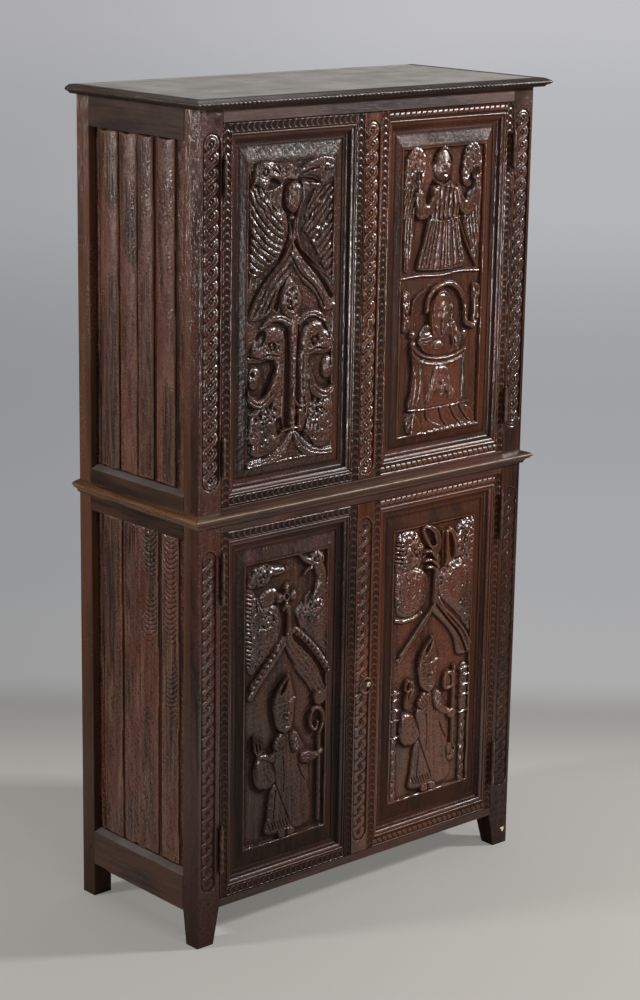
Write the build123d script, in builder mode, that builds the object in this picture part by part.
from build123d import *
import os

# Carved two-stage trastero cabinet: a lower and an upper framed carcass, each with a pair of
# panelled doors, joined with mortises, tenons and pegs. Millimetres. +Z is up, the doors face -Y,
# and the origin is on the floor, under the middle of the whole cabinet.

os.makedirs("parts", exist_ok=True)

# ---------------------------------------------------------------- driving dimensions
WIDTH = 900.0            # over the posts
DEPTH = 390.0            # front face to back face
LOWER_TOP = 887.0        # underside of the lower top board
UPPER_FOOT = 899.0       # where the upper posts stand
CARCASS_TOP = 1700.0     # underside of the cornice
CORNICE_H = 18.0
CORNICE_OUT = 28.0
WAIST_H = 26.0
WAIST_OUT = 20.0
MITRE_GAP = 0.1

POST_W = 57.0            # front posts, seen from the front
POST_D = 48.0            # front posts, seen from the side
BACK_POST_W = 45.0
BACK_POST_D = 40.0
ARRIS = 1.2              # worn edge of a post

FOOT_H = 77.0            # free length of the legs under the bottom rails
FOOT_TIP_W = 42.0
FOOT_TIP_D = 37.0

UPPER_FRONT_RAIL = (1671.0, 1700.0)
LOWER_FRONT_RAILS = ((77.0, 94.5), (870.5, 887.0))
FRONT_RAIL_T = 26.0
SIDE_RAIL_T = 28.0
UPPER_SIDE_RAILS = ((899.0, 942.0), (1638.0, 1700.0))
LOWER_SIDE_RAILS = ((74.0, 146.0), (855.0, 887.0))
SILL_RISE = 8.0          # weathered top of a side's lower rail
TENON = 24.0
TENON_T = 9.0

SIDE_GROOVE = (17.0, 23.0)   # panel groove, measured in from the side's face
GROOVE_DEEP = 8.0
TONGUE = 7.0
UPPER_FOLDS = ((92.0, 150.0), (160.0, 209.0), (211.0, 267.0), (272.0, 330.0))
LOWER_FOLDS = ((80.0, 135.0), (147.0, 259.0), (267.0, 328.0))
UPPER_FOLD_OUT = 9.5
LOWER_FOLD_OUT = 6.0

DOOR_T = 26.0
DOOR_PLAY = 1.2          # between a post and a door's edge
MEETING_X = 420.0        # where the doors meet, from the left side
MEETING_GAP = 2.4
UPPER_DOOR_Z = (922.5, 1669.5)
LOWER_DOOR_Z = (96.0, 869.0)
MEMBER_W = 46.0          # stiles and rails, with their moulding
BAND_W = 18.0            # their flat, outer part
STRIP_W = 46.0           # the guilloche strip beside the right doors' frames
DOOR_GROOVE = (14.0, 20.0)   # panel groove, measured in from the door's face
FIELD_MARGIN = 21.0      # bevel of a panel, from its frame to its carved field
FIELD_HEAD = 32.0        # the same at its head
LOWER_FIELD_FOOT = 35.0  # and at the foot of the lower panels
PANEL_RAISE = 5.0
SUNK = 6.0               # depth of the carved field's ground

BOARD_T = 18.0
UPPER_SHELF_Z = 1330.0
LOWER_SHELF_Z = 590.0
BEARER_H = 26.0
BACK_BOARD_T = 12.0
BACK_REBATE = 14.0
BACK_SEAM = 0.8
UPPER_FLOOR_T = 22.0
TOP_SEAM = 0.66          # the top boards' seam, as a share of the depth
BACK_RAIL_T = 24.0
BACK_RAIL_H = 60.0

PEG_R = 3.5
HINGE_R = 4.5
PIN_R = 2.5
PIN_CLEARANCE = 0.05
HINGE_OUT = 5.2          # hinge axis in front of the doors' face
HINGE_TIP = 7.0
HINGE_SIDES = 16
RING_SIDES = 24
LEAF_T = 1.5
LEAF_D = 22.0
UPPER_HINGES = ((1570.0, 68.0), (1023.0, 68.0))   # middle height, length
LOWER_HINGES = ((776.0, 94.0), (204.0, 94.0))

UPPER_LOCK_Z = 1237.0
LOWER_LOCK_Z = 469.0
LOWER_KEY_X = 454.0      # the lower keyhole's middle, from the left side
LOCK_W = 92.0
LOCK_H = 68.0
LOCK_OUT = 14.0
KEY_SLOT = (10.0, 12.0)  # width and height of the hole in the upper lock's plate
LOCK_RING = (14.0, 19.0)  # inner and outer radius of the lower keyhole's ring
CYLINDER_R = 6.5         # the lower lock's key cylinder
BOLT_T = 8.0
BOLT_H = 14.0
BOLT_THROW = 16.0
STAPLE_X = 9.0           # the lock's keeper, from the left doors' edge
TOP_BOLT_X = 24.0        # the upright bolt, from where the doors meet
TOP_BOLT = (12.0, 6.0, 139.0)   # its width, thickness and length

# ---------------------------------------------------------------- places worked out from them
FRONT_Y = CORNICE_OUT - (DEPTH + CORNICE_OUT) / 2
BACK_Y = FRONT_Y + DEPTH
LEFT_X = -WIDTH / 2
RIGHT_X = WIDTH / 2
MIDDLE_X = LEFT_X + MEETING_X
DOOR_BACK_Y = FRONT_Y + DOOR_T
BACK_RAIL_Y = BACK_Y - BACK_BOARD_T - BACK_RAIL_T
STRIP_X = MIDDLE_X + MEETING_GAP / 2 + STRIP_W / 2
LOWER_LOCK_X = LEFT_X + LOWER_KEY_X
CASE_X = MIDDLE_X + MEETING_GAP / 2 + 1.5
MIN3 = (Align.MIN, Align.MIN, Align.MIN)


def block(x, y, z, mode=Mode.ADD):
    """A board or a pocket, from its (low, high) places along each axis."""
    with Locations((x[0], y[0], z[0])):
        Box(x[1] - x[0], y[1] - y[0], z[1] - z[0], align=MIN3, mode=mode)


def save(part, name):
    """Labels a finished piece and writes it to its own STEP file."""
    part.label = name
    export_step(part, f"parts/{name}.step")


# ---------------------------------------------------------------- joints between rails and posts
def front_tenon(rail, margin=3.0):
    """A front rail's tenon at the left post, as its spans in x, y and z."""
    low, high = rail
    y = FRONT_Y + (FRONT_RAIL_T - TENON_T) / 2
    x = LEFT_X + POST_W
    return (x - TENON, x), (y, y + TENON_T), (low + margin, high - margin)


def side_tenons(rail, margin=8.0):
    """A left side rail's tenons at the front and back posts, as their spans in x, y and z."""
    low, high = rail
    x = (LEFT_X + SIDE_GROOVE[1] - TENON_T, LEFT_X + SIDE_GROOVE[1])
    z = (low + margin, high - margin)
    front, back = FRONT_Y + POST_D, BACK_Y - BACK_POST_D
    return (x, (front - TENON, front), z), (x, (back, back + TENON), z)


def peg(origin, towards, length, mode):
    """A whittled, eight-sided peg, or its bore, driven in at `origin`."""
    with BuildSketch(Plane(origin=origin, z_dir=towards)) as outline:
        RegularPolygon(PEG_R, 8)
    extrude(outline.sketch, amount=length, mode=mode)


def side_peg(rail, mode, front):
    """A peg, or its bore, through the tenon at one end of a left side rail."""
    y = FRONT_Y + POST_D - TENON / 2 if front else BACK_Y - BACK_POST_D + TENON / 2
    peg((LEFT_X, y, sum(rail) / 2), (1, 0, 0), SIDE_GROOVE[1] + 3, mode)


def front_peg(rail, mode, side=-1):
    """A peg, or its bore, through a front rail's tenon in the left (-1) or right (+1) post."""
    x = side * (WIDTH / 2 - POST_W + TENON / 2)
    peg((x, FRONT_Y, sum(rail) / 2), (0, 1, 0), FRONT_RAIL_T, mode)


# ---------------------------------------------------------------- posts
def hinge_pocket(height, middle, x, towards, mode=Mode.SUBTRACT):
    """The shallow pocket that a hinge leaf lies in, cut into an edge that faces `towards`."""
    span = (x - LEAF_T, x) if towards > 0 else (x, x + LEAF_T)
    block(span, (FRONT_Y, FRONT_Y + LEAF_D), (middle - height / 2, middle + height / 2), mode)


def front_post(low, high, front_rails, side_rails, hinges):
    """The left front post of one stage, with its mortises, panel groove and hinge pockets."""
    inner_x = LEFT_X + POST_W
    inner_y = FRONT_Y + POST_D
    with BuildPart() as post:
        with BuildSketch(Plane.XY.offset(low)):
            with Locations((LEFT_X, FRONT_Y)):
                Rectangle(POST_W, POST_D, align=(Align.MIN, Align.MIN))
        extrude(amount=high - low)
        chamfer(post.edges().filter_by(Axis.Z), ARRIS)
        if low == 0:
            with BuildSketch(Plane.XZ.offset(-FRONT_Y)):
                with BuildLine():
                    Polyline((inner_x, FOOT_H - 2), (LEFT_X + FOOT_TIP_W, 0), (inner_x, 0), close=True)
                make_face()
            extrude(amount=-POST_D, mode=Mode.SUBTRACT)
            with BuildSketch(Plane.YZ.offset(LEFT_X)):
                with BuildLine():
                    Polyline((inner_y, FOOT_H - 2), (FRONT_Y + FOOT_TIP_D, 0), (inner_y, 0), close=True)
                make_face()
            extrude(amount=POST_W, mode=Mode.SUBTRACT)
        for rail in front_rails:
            block(*front_tenon(rail), mode=Mode.SUBTRACT)
            front_peg(rail, Mode.SUBTRACT)
        for rail in side_rails:
            block(*side_tenons(rail)[0], mode=Mode.SUBTRACT)
            side_peg(rail, Mode.SUBTRACT, front=True)
        groove = (LEFT_X + SIDE_GROOVE[0], LEFT_X + SIDE_GROOVE[1])
        span = (side_rails[0][1] - 10, side_rails[1][0] + 10)
        block(groove, (inner_y - GROOVE_DEEP, inner_y), span, Mode.SUBTRACT)
        for middle, height in hinges:
            hinge_pocket(height, middle, inner_x, +1)
    return post.part


def back_post(low, high, side_rails):
    """The left back post of one stage, rebated behind for the back boards."""
    inner_x = LEFT_X + BACK_POST_W
    inner_y = BACK_Y - BACK_POST_D
    with BuildPart() as post:
        with BuildSketch(Plane.XY.offset(low)):
            with Locations((LEFT_X, inner_y)):
                Rectangle(BACK_POST_W, BACK_POST_D, align=(Align.MIN, Align.MIN))
        extrude(amount=high - low)
        chamfer(post.edges().filter_by(Axis.Z), ARRIS)
        start = low + (FOOT_H if low == 0 else 0)
        rebate = (inner_x - BACK_REBATE, inner_x)
        block(rebate, (BACK_Y - BACK_BOARD_T, BACK_Y), (start, high), Mode.SUBTRACT)
        for rail in side_rails:
            block(*side_tenons(rail)[1], mode=Mode.SUBTRACT)
            side_peg(rail, Mode.SUBTRACT, front=False)
        groove = (LEFT_X + SIDE_GROOVE[0], LEFT_X + SIDE_GROOVE[1])
        span = (side_rails[0][1] - 10, side_rails[1][0] + 10)
        block(groove, (inner_y, inner_y + GROOVE_DEEP), span, Mode.SUBTRACT)
    return post.part


# ---------------------------------------------------------------- rails and side panels
def front_rails(spans):
    """The front rails of one stage, tenoned at both ends."""
    inner = LEFT_X + POST_W
    with BuildPart() as rails:
        for span in spans:
            block((inner, -inner), (FRONT_Y, FRONT_Y + FRONT_RAIL_T), span)
            tenon = front_tenon(span)
            block(*tenon)
            block((-tenon[0][1], -tenon[0][0]), tenon[1], tenon[2])
            front_peg(span, Mode.SUBTRACT)
            front_peg(span, Mode.SUBTRACT, side=1)
    return rails.part


def side_rails(spans):
    """The left side's two rails: the lower one has a weathered sill, and both hold the panel."""
    low_rail, top_rail = spans
    start, end = FRONT_Y + POST_D, BACK_Y - BACK_POST_D
    groove_x = (LEFT_X + SIDE_GROOVE[0], LEFT_X + SIDE_GROOVE[1])
    sill = low_rail[1] + SILL_RISE
    with BuildPart() as rails:
        with BuildSketch(Plane.XZ.offset(-start)):
            with BuildLine():
                Polyline((LEFT_X, low_rail[0]), (LEFT_X + SIDE_RAIL_T, low_rail[0]),
                         (LEFT_X + SIDE_RAIL_T, sill), (LEFT_X + SIDE_GROOVE[0] - 2, sill),
                         (LEFT_X, low_rail[1]), close=True)
            make_face()
        extrude(amount=-(end - start))
        block(groove_x, (start, end), (sill - GROOVE_DEEP, sill), Mode.SUBTRACT)
        block((LEFT_X, LEFT_X + SIDE_RAIL_T), (start, end), top_rail)
        block(groove_x, (start, end), (top_rail[0], top_rail[0] + GROOVE_DEEP), Mode.SUBTRACT)
        for rail in spans:
            for tenon in side_tenons(rail):
                block(*tenon)
            side_peg(rail, Mode.SUBTRACT, front=True)
            side_peg(rail, Mode.SUBTRACT, front=False)
    return rails.part


def fold_panel(spans, folds, fold_out):
    """A linenfold side panel: upright folds on a flat ground, hipped at head and foot."""
    low = spans[0][1] + SILL_RISE
    high = spans[1][0]
    start, end = FRONT_Y + POST_D, BACK_Y - BACK_POST_D
    ground, back = LEFT_X + SIDE_GROOVE[0], LEFT_X + SIDE_GROOVE[1]
    crest = ground - fold_out
    with BuildPart() as panel:
        block((ground, back), (start - TONGUE, end + TONGUE), (low - TONGUE, high + TONGUE))
        for first, last in folds:
            near, far = FRONT_Y + first, FRONT_Y + last
            with BuildSketch(Plane.XY.offset(low + 2)):
                with BuildLine():
                    Line((ground, near), (ground - 2, near))
                    ThreePointArc((ground - 2, near), (crest, (near + far) / 2), (ground - 2, far))
                    Line((ground - 2, far), (ground, far))
                    Line((ground, far), (ground, near))
                make_face()
            extrude(amount=high - low - 4)
        for edge, inward in ((low, 1), (high, -1)):
            with BuildSketch(Plane.XZ.offset(-start)):
                with BuildLine():
                    Polyline((ground, edge + 2 * inward), (crest - 1, edge + 14 * inward),
                             (crest - 1, edge), (ground, edge), close=True)
                make_face()
            extrude(amount=-(end - start), mode=Mode.SUBTRACT)
    return panel.part


# ---------------------------------------------------------------- cornice and waist mouldings
def cornice_section():
    """The cornice's section, from the carcass side outwards: a round nose over a small fillet."""
    with BuildSketch() as section:
        with BuildLine():
            Line((0, 0), (CORNICE_OUT - 12, 0))
            Line((CORNICE_OUT - 12, 0), (CORNICE_OUT - 9, 3.5))
            ThreePointArc((CORNICE_OUT - 9, 3.5), (CORNICE_OUT, 10), (CORNICE_OUT - 9, CORNICE_H - 1.5))
            Line((CORNICE_OUT - 9, CORNICE_H - 1.5), (CORNICE_OUT - 11, CORNICE_H))
            Line((CORNICE_OUT - 11, CORNICE_H), (0, CORNICE_H))
            Line((0, CORNICE_H), (0, 0))
        make_face()
    return section.sketch


def waist_section():
    """The waist's section: a sloping top, a half-round nose, a fillet and a cove below it."""
    with BuildSketch() as section:
        with BuildLine():
            Line((0, 0), (5, 0))
            ThreePointArc((5, 0), (8.5, 7.5), (WAIST_OUT - 4.5, 11))
            Line((WAIST_OUT - 4.5, 11), (WAIST_OUT - 4.5, 13.5))
            ThreePointArc((WAIST_OUT - 4.5, 13.5), (WAIST_OUT, 18), (WAIST_OUT - 4.5, 22.5))
            Line((WAIST_OUT - 4.5, 22.5), (0, WAIST_H))
            Line((0, WAIST_H), (0, 0))
        make_face()
    return section.sketch


def moulding(section, base, out):
    """Three mitred lengths of a moulding, planted on the front and both sides at height `base`."""
    corner = Plane(origin=(LEFT_X, FRONT_Y, 0), z_dir=(1, -1, 0)).offset(MITRE_GAP)
    far_corner = Plane(origin=(RIGHT_X, FRONT_Y, 0), z_dir=(-1, -1, 0)).offset(MITRE_GAP)
    with BuildPart() as front_length:
        start = Plane(origin=(RIGHT_X + out, FRONT_Y, base), x_dir=(0, -1, 0), z_dir=(-1, 0, 0))
        with BuildSketch(start):
            add(section)
        extrude(amount=WIDTH + 2 * out)
        split(bisect_by=corner, keep=Keep.TOP)
        split(bisect_by=far_corner, keep=Keep.TOP)
    with BuildPart() as side_length:
        start = Plane(origin=(LEFT_X, FRONT_Y - out, base), x_dir=(-1, 0, 0), z_dir=(0, 1, 0))
        with BuildSketch(start):
            add(section)
        extrude(amount=DEPTH + out)
        split(bisect_by=corner.offset(-2 * MITRE_GAP), keep=Keep.BOTTOM)
    with BuildPart() as lengths:
        add(front_length.part)
        add(side_length.part)
        mirror(side_length.part, about=Plane.YZ)
    return lengths.part


# ---------------------------------------------------------------- boards
def floor_board(span, front, back):
    """A floor board or shelf of one stage, from `front` to `back`, notched round the posts."""
    inner = LEFT_X + SIDE_RAIL_T
    with BuildPart() as board:
        block((inner, -inner), (front, back), span)
        for side in (-1, 1):
            near, far = side * (WIDTH / 2 - POST_W), side * WIDTH / 2
            block((min(near, far), max(near, far)), (FRONT_Y, FRONT_Y + POST_D), span, Mode.SUBTRACT)
            near = side * (WIDTH / 2 - BACK_POST_W)
            block((min(near, far), max(near, far)), (BACK_Y - BACK_POST_D, BACK_Y), span, Mode.SUBTRACT)
    return board.part


def back_boards(low, high, count):
    """Upright boards behind one stage, butted edge to edge in the back posts' rebates."""
    start = LEFT_X + BACK_POST_W - BACK_REBATE
    width = -2 * start / count
    with BuildPart() as boards:
        for index in range(count):
            edge = start + index * width
            block((edge, edge + width - BACK_SEAM), (BACK_Y - BACK_BOARD_T, BACK_Y), (low, high))
    return boards.part


# ---------------------------------------------------------------- doors
def frame_section(extra):
    """The section of a stile or rail: flat band, quirk, ovolo, fillet and cavetto, then its back."""
    with BuildSketch() as section:
        with BuildLine():
            Polyline((BAND_W, 0), (-extra, 0), (-extra, DOOR_T), (MEMBER_W, DOOR_T), (MEMBER_W, 12.5),
                     (MEMBER_W - 2, 12.5))
            ThreePointArc((MEMBER_W - 2, 12.5), (MEMBER_W - 8, 11.5), (MEMBER_W - 12, 8.5))
            Polyline((MEMBER_W - 12, 8.5), (MEMBER_W - 12, 7), (MEMBER_W - 14, 7))
            ThreePointArc((MEMBER_W - 14, 7), (MEMBER_W - 18.5, 3), (MEMBER_W - 26, 1.8))
            Polyline((MEMBER_W - 26, 1.8), (BAND_W, 1.8), (BAND_W, 0))
        make_face()
    return section.sketch


def frame_member(origin, inward, along, length, is_stile, extra=0.0):
    """A stile or rail of a door, with its groove, its mitred moulding and its mortises or tenons.

    The section's first axis is `inward`, from the frame's outer edge to the panel.
    """
    profile = frame_section(extra)
    section = Plane(origin=origin, x_dir=inward, z_dir=along)
    face = Plane(origin=origin, x_dir=inward, z_dir=(0, -1, 0))
    over = MEMBER_W + 1
    with BuildPart() as member:
        with BuildSketch(section):
            add(profile)
        extrude(amount=length)
        with BuildSketch(face):
            for start, step in ((0, 1), (length, -1)):
                with BuildLine():
                    if is_stile:
                        Polyline((BAND_W, start - step), (BAND_W, start + step * BAND_W),
                                 (over, start + step * over), (over, start - step), close=True)
                    else:
                        Polyline((-1, start - step), (-1, start + step * BAND_W),
                                 (BAND_W, start + step * BAND_W), (over, start + step * over),
                                 (over, start - step), close=True)
                make_face()
        extrude(amount=DOOR_T + 1, both=True, mode=Mode.SUBTRACT)
        with BuildSketch(face.offset(-DOOR_GROOVE[0])):
            with Locations((MEMBER_W - GROOVE_DEEP, 0)):
                Rectangle(GROOVE_DEEP + 1, length, align=(Align.MIN, Align.MIN))
        extrude(amount=DOOR_GROOVE[0] - DOOR_GROOVE[1], mode=Mode.SUBTRACT)
        with BuildSketch(face.offset(-DOOR_GROOVE[0])):
            for start, step in ((0, 1), (length, -1)):
                across, reach = (10.0, MEMBER_W - 10.0), (4.0, MEMBER_W + 2.0)
                size, place = across[1] - across[0], (across[0] + across[1]) / 2
                run, middle = reach[1] - reach[0], start + step * (reach[0] + reach[1]) / 2
                if is_stile:
                    with Locations(((reach[0] + reach[1]) / 2, start + step * place)):
                        Rectangle(run, size)
                else:
                    with Locations((place, middle)):
                        Rectangle(size, run)
        extrude(amount=DOOR_GROOVE[0] - DOOR_GROOVE[1], mode=Mode.SUBTRACT if is_stile else Mode.ADD)
    return member.part


def door_rails(x, z):
    """Both rails of a door frame that spans x and z."""
    length = x[1] - x[0]
    foot = frame_member((x[1], FRONT_Y, z[0]), (0, 0, 1), (-1, 0, 0), length, False)
    head = frame_member((x[0], FRONT_Y, z[1]), (0, 0, -1), (1, 0, 0), length, False)
    with BuildPart() as rails:
        add(foot)
        add(head)
    return rails.part


def left_stile(x, z, extra=0.0):
    """The stile on a frame's left side."""
    return frame_member((x[0], FRONT_Y, z[0]), (1, 0, 0), (0, 0, 1), z[1] - z[0], True, extra)


def right_stile(x, z):
    """The stile on a frame's right side."""
    return frame_member((x[1], FRONT_Y, z[1]), (-1, 0, 0), (0, 0, -1), z[1] - z[0], True)


def door_panel(x, z, foot_margin):
    """A fielded panel: tongued all round, bevelled to a raised rim, with a sunk carving ground."""
    sight_x = (x[0] + MEMBER_W, x[1] - MEMBER_W)
    sight_z = (z[0] + MEMBER_W, z[1] - MEMBER_W)
    front = FRONT_Y + DOOR_GROOVE[0]
    back = FRONT_Y + DOOR_GROOVE[1]
    field_x = (sight_x[0] + FIELD_MARGIN, sight_x[1] - FIELD_MARGIN)
    field_z = (sight_z[0] + foot_margin, sight_z[1] - FIELD_HEAD)
    rim = 3.0
    with BuildPart() as panel:
        block((sight_x[0] - TONGUE, sight_x[1] + TONGUE), (front, back),
              (sight_z[0] - TONGUE, sight_z[1] + TONGUE))
        block((sight_x[0] + 6, sight_x[1] - 6), (back, back + 3), (sight_z[0] + 6, sight_z[1] - 6))
        with BuildSketch(Plane.XZ.offset(-front)):
            with Locations(((sight_x[0] + sight_x[1]) / 2, (sight_z[0] + sight_z[1]) / 2)):
                Rectangle(sight_x[1] - sight_x[0] - 2, sight_z[1] - sight_z[0] - 2)
        with BuildSketch(Plane.XZ.offset(-front + PANEL_RAISE)):
            with Locations(((field_x[0] + field_x[1]) / 2, (field_z[0] + field_z[1]) / 2)):
                Rectangle(field_x[1] - field_x[0], field_z[1] - field_z[0])
        loft()
        block((field_x[0] + rim, field_x[1] - rim),
              (front - PANEL_RAISE - 1, front - PANEL_RAISE + SUNK),
              (field_z[0] + rim, field_z[1] - rim), Mode.SUBTRACT)
    return panel.part


# ---------------------------------------------------------------- ironwork
def hinge_axis(side):
    """Where a left (-1) or right (+1) door turns, seen from above."""
    return side * (WIDTH / 2 - POST_W - DOOR_PLAY / 2)


def knuckle(axis_x, axis_y, low, high, tip_up):
    """A forged, many-sided knuckle of a hinge, with a tapered tip above or below it."""
    with BuildSketch(Plane(origin=(axis_x, axis_y, low))) as barrel:
        RegularPolygon(HINGE_R, HINGE_SIDES)
    extrude(barrel.sketch, amount=high - low)
    end = Plane(origin=(axis_x, axis_y, high if tip_up else low), z_dir=(0, 0, 1 if tip_up else -1))
    with BuildSketch(end) as tip:
        RegularPolygon(HINGE_R - 0.4, HINGE_SIDES)
    extrude(tip.sketch, amount=HINGE_TIP, taper=18)


def hinge_halves(side, middle, height):
    """One lift-off hinge: the door's half with its bored knuckle, and the post's with the pin."""
    axis_x, axis_y = hinge_axis(side), FRONT_Y - HINGE_OUT
    halves = []
    for low, high, way, on_door in ((middle + 0.2, middle + height / 2, -side, True),
                                    (middle - height / 2, middle - 0.2, side, False)):
        inner, outer = sorted((way * DOOR_PLAY / 2, way * (DOOR_PLAY / 2 + LEAF_T)))
        with BuildPart() as half:
            knuckle(axis_x, axis_y, low, high, on_door)
            block((axis_x + inner, axis_x + outer), (axis_y, FRONT_Y + 1), (low, high))
            block((axis_x + inner, axis_x + outer), (FRONT_Y + 0.6, FRONT_Y + LEAF_D),
                  (middle - height / 2, middle + height / 2))
            with Locations((axis_x, axis_y, middle - 6)):
                if on_door:
                    Cylinder(PIN_R + PIN_CLEARANCE, height / 2, mode=Mode.SUBTRACT,
                             align=(Align.CENTER, Align.CENTER, Align.MIN))
                else:
                    Cylinder(PIN_R, height / 2 - 1, align=(Align.CENTER, Align.CENTER, Align.MIN))
        halves.append(half.part)
    return halves


def lock_case(z, is_upper):
    """An iron lock case on a right door's back, open for the bolt and, in front, for the key.

    The upper lock has a keyhole in its plate. The lower one has a key cylinder that reaches
    forward through the stile.
    """
    right = CASE_X + LOCK_W
    plate, cover = DOOR_BACK_Y + 2, DOOR_BACK_Y + LOCK_OUT - 1.7
    bolt_low, bolt_high = DOOR_BACK_Y + 3.2, DOOR_BACK_Y + 3.8 + BOLT_T
    slot = BOLT_H / 2 + 0.3
    with BuildPart() as case:
        block((CASE_X, right), (DOOR_BACK_Y, DOOR_BACK_Y + LOCK_OUT), (z - LOCK_H / 2, z + LOCK_H / 2))
        chamfer(case.faces().sort_by(Axis.Y)[-1].edges(), 1.5)
        block((CASE_X + 2, right - 2), (plate, cover), (z - LOCK_H / 2 + 2, z + LOCK_H / 2 - 2),
              Mode.SUBTRACT)
        block((CASE_X - 1, CASE_X + 3), (bolt_low, bolt_high), (z - slot, z + slot), Mode.SUBTRACT)
        for low, high in ((-20, -slot), (slot, 20)):
            block((CASE_X + 6, CASE_X + 16), (plate, cover), (z + low, z + high))
        if is_upper:
            block((STRIP_X - KEY_SLOT[0] / 2, STRIP_X + KEY_SLOT[0] / 2), (DOOR_BACK_Y - 1, plate + 1),
                  (z - 6.5 - KEY_SLOT[1], z - 6.5), Mode.SUBTRACT)
        else:
            key_x, key_z, front = LOWER_LOCK_X + 5, z + 5, FRONT_Y + 4
            with Locations(Pos(key_x, front, key_z) * Rot(-90, 0, 0)):
                Cylinder(CYLINDER_R, DOOR_BACK_Y + 1 - front, align=(Align.CENTER, Align.CENTER, Align.MIN))
            chamfer(case.faces().sort_by(Axis.Y)[0].edges(), 0.8)
            block((key_x - 0.9, key_x + 0.9), (front - 1, front + 8), (key_z - 4, key_z + 4), Mode.SUBTRACT)
    return case.part


def lock_bolt(z):
    """A lock's sliding bolt, drawn back, with the notch that the key's bit works in."""
    left = CASE_X + 0.2
    length = LOCK_W - BOLT_THROW - 6
    front = DOOR_BACK_Y + 3.5
    with BuildPart() as bolt:
        block((left, left + length), (front, front + BOLT_T), (z - BOLT_H / 2, z + BOLT_H / 2))
        chamfer(bolt.faces().sort_by(Axis.X)[0].edges().filter_by(Axis.Z), 1.5)
        block((left + 12, left + 30), (front - 1, front + BOLT_T + 1), (z - BOLT_H, z - 2), Mode.SUBTRACT)
    return bolt.part


def bent_strap(x, out, half_x, half_z, z, thick=2.5):
    """A strap bent up off a left door's back round an open gap, `half_z` high each way."""
    block((x - half_x, x + half_x), (DOOR_BACK_Y, DOOR_BACK_Y + out),
          (z - half_z - thick, z + half_z + thick))
    block((x - half_x - 1, x + half_x + 1), (DOOR_BACK_Y, DOOR_BACK_Y + out - thick),
          (z - half_z, z + half_z), Mode.SUBTRACT)


def top_bolt_guides(x, door_top):
    """Two strap guides that a left door's upright bolt slides in."""
    width, thick = TOP_BOLT[0], TOP_BOLT[1]
    gap_out = 2.9 + thick
    for guide_z in (door_top - 118, door_top - 22):
        block((x - width / 2 - 4, x + width / 2 + 4), (DOOR_BACK_Y, DOOR_BACK_Y + gap_out + 2.1),
              (guide_z - 6, guide_z + 6))
        block((x - width / 2 - 0.4, x + width / 2 + 0.4), (DOOR_BACK_Y, DOOR_BACK_Y + gap_out),
              (guide_z - 7, guide_z + 7), Mode.SUBTRACT)


def door_irons(x, door_top, lock_z):
    """What is nailed to a left door's back: the keeper of the lock and the guides of the bolt."""
    with BuildPart() as irons:
        bent_strap(MIDDLE_X - MEETING_GAP / 2 - STAPLE_X, 15.0, 5.0, BOLT_H / 2 + 2, lock_z)
        top_bolt_guides(x, door_top)
    return irons.part


def top_bolt(x, door_top):
    """A left door's upright bolt, drawn down, with its turned knob."""
    width, thick, length = TOP_BOLT
    knob_z = door_top - length / 2
    front = DOOR_BACK_Y + 2.5
    with BuildPart() as bolt:
        block((x - width / 2, x + width / 2), (front, front + thick), (door_top - 1 - length, door_top - 1))
        chamfer(bolt.faces().sort_by(Axis.Z)[-1].edges().filter_by(Axis.X), 2)
        for radius, start, end in ((3, 7, 15), (5.5, 14, 20.5)):
            with BuildSketch(Plane(origin=(x, DOOR_BACK_Y + start, knob_z), z_dir=(0, 1, 0))):
                RegularPolygon(radius, 12)
            extrude(amount=end - start)
    return bolt.part


def drop_keyhole(grow=0.0):
    """The drop-shaped keyhole of the upper right door, or its escutcheon's outline `grow` wider."""
    with BuildSketch() as outline:
        with Locations((STRIP_X, UPPER_LOCK_Z - 8)):
            Circle(9 + grow)
        with Locations((STRIP_X, UPPER_LOCK_Z + 2)):
            Rectangle(9 + 2 * grow, 26 + 2 * grow)
    return outline.sketch


def meeting_stile(frame_x, z, is_upper):
    """A right door's meeting stile: the frame's own stile and the strip beside it, in one board."""
    board = left_stile(frame_x, z, STRIP_W)
    keyhole = drop_keyhole()
    with BuildPart() as stile:
        add(board)
        if is_upper:
            with BuildSketch(Plane.XZ.offset(-FRONT_Y + 1)):
                add(keyhole)
            extrude(amount=-DOOR_T - 2, mode=Mode.SUBTRACT)
        else:
            with Locations(Pos(LOWER_LOCK_X, FRONT_Y, LOWER_LOCK_Z) * Rot(90, 0, 0)):
                Cylinder(LOCK_RING[0], 3 * DOOR_T, mode=Mode.SUBTRACT)
    return stile.part


# ---------------------------------------------------------------- the two carcasses
def carcass(stage, low, high, foot, rails, sides, hinges):
    """Builds and writes the posts, rails and sides of one stage."""
    post = front_post(foot, high, rails, sides, hinges)
    save(post, f"{stage}_post_front_left")
    with BuildPart() as right_post:
        mirror(post, about=Plane.YZ)
    save(right_post.part, f"{stage}_post_front_right")
    post = back_post(foot, high, sides)
    save(post, f"{stage}_post_back_left")
    with BuildPart() as right_back_post:
        mirror(post, about=Plane.YZ)
    save(right_back_post.part, f"{stage}_post_back_right")
    save(front_rails(rails), f"{stage}_front_rails")
    rail_pair = side_rails(sides)
    save(rail_pair, f"{stage}_side_rails_left")
    with BuildPart() as right_rails:
        mirror(rail_pair, about=Plane.YZ)
    save(right_rails.part, f"{stage}_side_rails_right")
    if stage == "upper":
        panel = fold_panel(sides, UPPER_FOLDS, UPPER_FOLD_OUT)
    else:
        panel = fold_panel(sides, LOWER_FOLDS, LOWER_FOLD_OUT)
    save(panel, f"{stage}_side_panel_left")
    with BuildPart() as right_panel:
        mirror(panel, about=Plane.YZ)
    save(right_panel.part, f"{stage}_side_panel_right")
    save(back_boards(low, high, 4), f"{stage}_back_boards")


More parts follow.
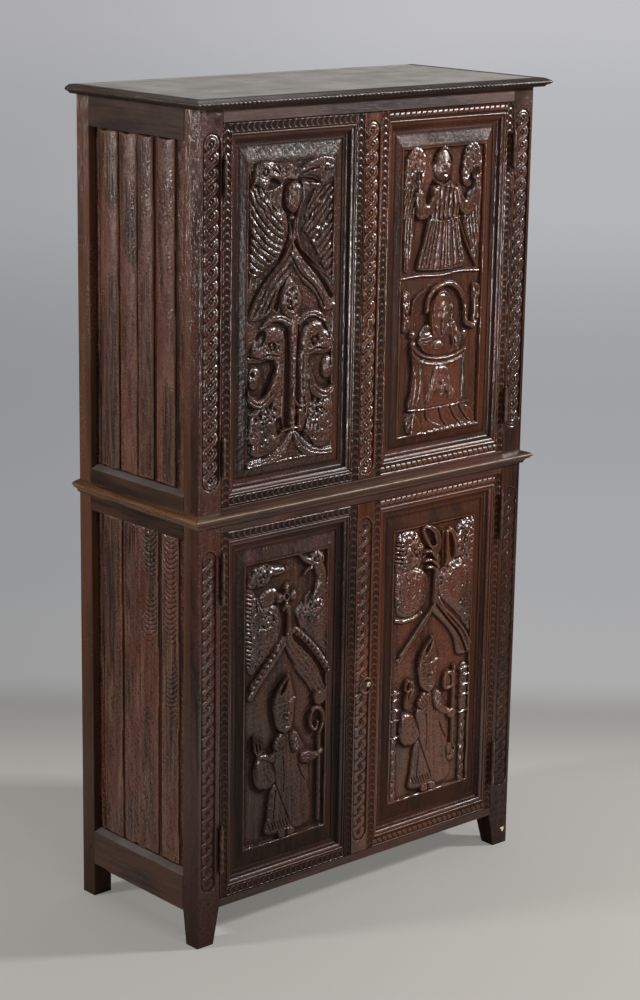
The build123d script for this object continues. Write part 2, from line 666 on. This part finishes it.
def door_pair(stage, z, hinges, lock_z):
    """Builds and writes both doors of one stage, with their hinges, bolts and lock."""
    left_x = (LEFT_X + POST_W + DOOR_PLAY, MIDDLE_X - MEETING_GAP / 2)
    frame_x = (MIDDLE_X + MEETING_GAP / 2 + STRIP_W, RIGHT_X - POST_W - DOOR_PLAY)
    stile_pair = left_stile(left_x, z), right_stile(left_x, z)
    with BuildPart() as stiles:
        add(stile_pair[0])
        for middle, height in hinges:
            hinge_pocket(height, middle, left_x[0], -1)
        add(stile_pair[1])
    save(stiles.part, f"{stage}_left_door_stiles")
    save(door_rails(left_x, z), f"{stage}_left_door_rails")
    foot_margin = FIELD_MARGIN if stage == "upper" else LOWER_FIELD_FOOT
    save(door_panel(left_x, z, foot_margin), f"{stage}_left_door_panel")
    outer_stile = right_stile(frame_x, z)
    with BuildPart() as hinge_stile:
        add(outer_stile)
        for middle, height in hinges:
            hinge_pocket(height, middle, frame_x[1], +1)
    save(hinge_stile.part, f"{stage}_right_door_hinge_stile")
    save(meeting_stile(frame_x, z, stage == "upper"), f"{stage}_right_door_meeting_stile")
    save(door_rails(frame_x, z), f"{stage}_right_door_rails")
    save(door_panel(frame_x, z, foot_margin), f"{stage}_right_door_panel")
    bolt_x = MIDDLE_X - TOP_BOLT_X
    save(lock_case(lock_z, stage == "upper"), f"{stage}_lock_case")
    save(lock_bolt(lock_z), f"{stage}_lock_bolt")
    save(door_irons(bolt_x, z[1], lock_z), f"{stage}_left_door_irons")
    save(top_bolt(bolt_x, z[1]), f"{stage}_top_bolt")
    for side, name in ((-1, "left"), (1, "right")):
        halves = [hinge_halves(side, middle, height)[0] for middle, height in hinges]
        with BuildPart() as leaves:
            for half in halves:
                add(half)
        save(leaves.part, f"{stage}_{name}_door_hinges")


carcass("lower", FOOT_H, LOWER_TOP, 0.0, LOWER_FRONT_RAILS, LOWER_SIDE_RAILS, LOWER_HINGES)
carcass("upper", UPPER_FOOT, CARCASS_TOP, UPPER_FOOT, (UPPER_FRONT_RAIL,), UPPER_SIDE_RAILS, UPPER_HINGES)
door_pair("lower", LOWER_DOOR_Z, LOWER_HINGES, LOWER_LOCK_Z)
door_pair("upper", UPPER_DOOR_Z, UPPER_HINGES, UPPER_LOCK_Z)

lower_floor = LOWER_FRONT_RAILS[0][1]
lower_floor_span = (lower_floor - BOARD_T, lower_floor)
back_face = BACK_Y - BACK_BOARD_T
save(floor_board(lower_floor_span, FRONT_Y + FRONT_RAIL_T, BACK_RAIL_Y), "lower_floor_board")
save(floor_board((UPPER_FOOT, UPPER_FOOT + UPPER_FLOOR_T), FRONT_Y, back_face), "upper_floor_board")
shelf_front = DOOR_BACK_Y + 1
save(floor_board((LOWER_SHELF_Z, LOWER_SHELF_Z + BOARD_T), shelf_front, back_face), "lower_shelf")
save(floor_board((UPPER_SHELF_Z, UPPER_SHELF_Z + BOARD_T), shelf_front, back_face), "upper_shelf")

with BuildPart() as shelf_bearers:
    for shelf_z in (LOWER_SHELF_Z, UPPER_SHELF_Z, lower_floor - BOARD_T):
        for edge in (LEFT_X + SIDE_RAIL_T, RIGHT_X - SIDE_RAIL_T - BOARD_T):
            block((edge, edge + BOARD_T), (FRONT_Y + POST_D, BACK_Y - BACK_POST_D),
                  (shelf_z - BEARER_H, shelf_z))
save(shelf_bearers.part, "shelf_bearers")

with BuildPart() as back_rails:
    for low in (FOOT_H, LOWER_TOP - BACK_RAIL_H, UPPER_FOOT + UPPER_FLOOR_T, CARCASS_TOP - BACK_RAIL_H):
        block((LEFT_X + BACK_POST_W, RIGHT_X - BACK_POST_W),
              (BACK_RAIL_Y, BACK_RAIL_Y + BACK_RAIL_T), (low, low + BACK_RAIL_H))
save(back_rails.part, "back_rails")

with BuildPart() as lower_top_board:
    block((LEFT_X, RIGHT_X), (FRONT_Y, BACK_Y), (LOWER_TOP, UPPER_FOOT))
save(lower_top_board.part, "lower_top_board")

with BuildPart() as top_boards:
    seam = FRONT_Y + DEPTH * TOP_SEAM
    block((LEFT_X, RIGHT_X), (FRONT_Y, seam - 1), (CARCASS_TOP, CARCASS_TOP + CORNICE_H))
    block((LEFT_X, RIGHT_X), (seam + 1, BACK_Y), (CARCASS_TOP, CARCASS_TOP + CORNICE_H))
save(top_boards.part, "top_boards")

save(moulding(cornice_section(), CARCASS_TOP, CORNICE_OUT), "cornice_moulding")
save(moulding(waist_section(), LOWER_TOP, WAIST_OUT), "waist_moulding")

post_halves = [hinge_halves(side, middle, height)[1]
               for middle, height in (*LOWER_HINGES, *UPPER_HINGES) for side in (-1, 1)]
with BuildPart() as hinge_post_halves:
    for half in post_halves:
        add(half)
save(hinge_post_halves.part, "hinge_post_halves")

with BuildPart() as joint_pegs:
    for rail in (*LOWER_FRONT_RAILS, UPPER_FRONT_RAIL):
        front_peg(rail, Mode.ADD)
    for rail in (*LOWER_SIDE_RAILS, *UPPER_SIDE_RAILS):
        side_peg(rail, Mode.ADD, front=True)
        side_peg(rail, Mode.ADD, front=False)
    mirror(about=Plane.YZ)
save(joint_pegs.part, "joint_pegs")

plate_outline, plate_hole = drop_keyhole(2.0), drop_keyhole()
with BuildPart() as upper_escutcheon:
    with BuildSketch(Plane.XZ.offset(-FRONT_Y)):
        add(plate_outline)
        add(plate_hole, mode=Mode.SUBTRACT)
    extrude(amount=1.2)
save(upper_escutcheon.part, "upper_escutcheon")

ring_inner, ring_outer = LOCK_RING
with BuildPart() as lower_escutcheon:
    with BuildSketch(Plane.XZ.offset(-FRONT_Y)):
        with Locations((LOWER_LOCK_X, LOWER_LOCK_Z)):
            RegularPolygon(ring_outer, RING_SIDES)
            RegularPolygon(ring_inner, RING_SIDES, mode=Mode.SUBTRACT)
    extrude(amount=2.5)
    chamfer(lower_escutcheon.faces().sort_by(Axis.Y)[0].edges(), 1.2)
save(lower_escutcheon.part, "lower_escutcheon")
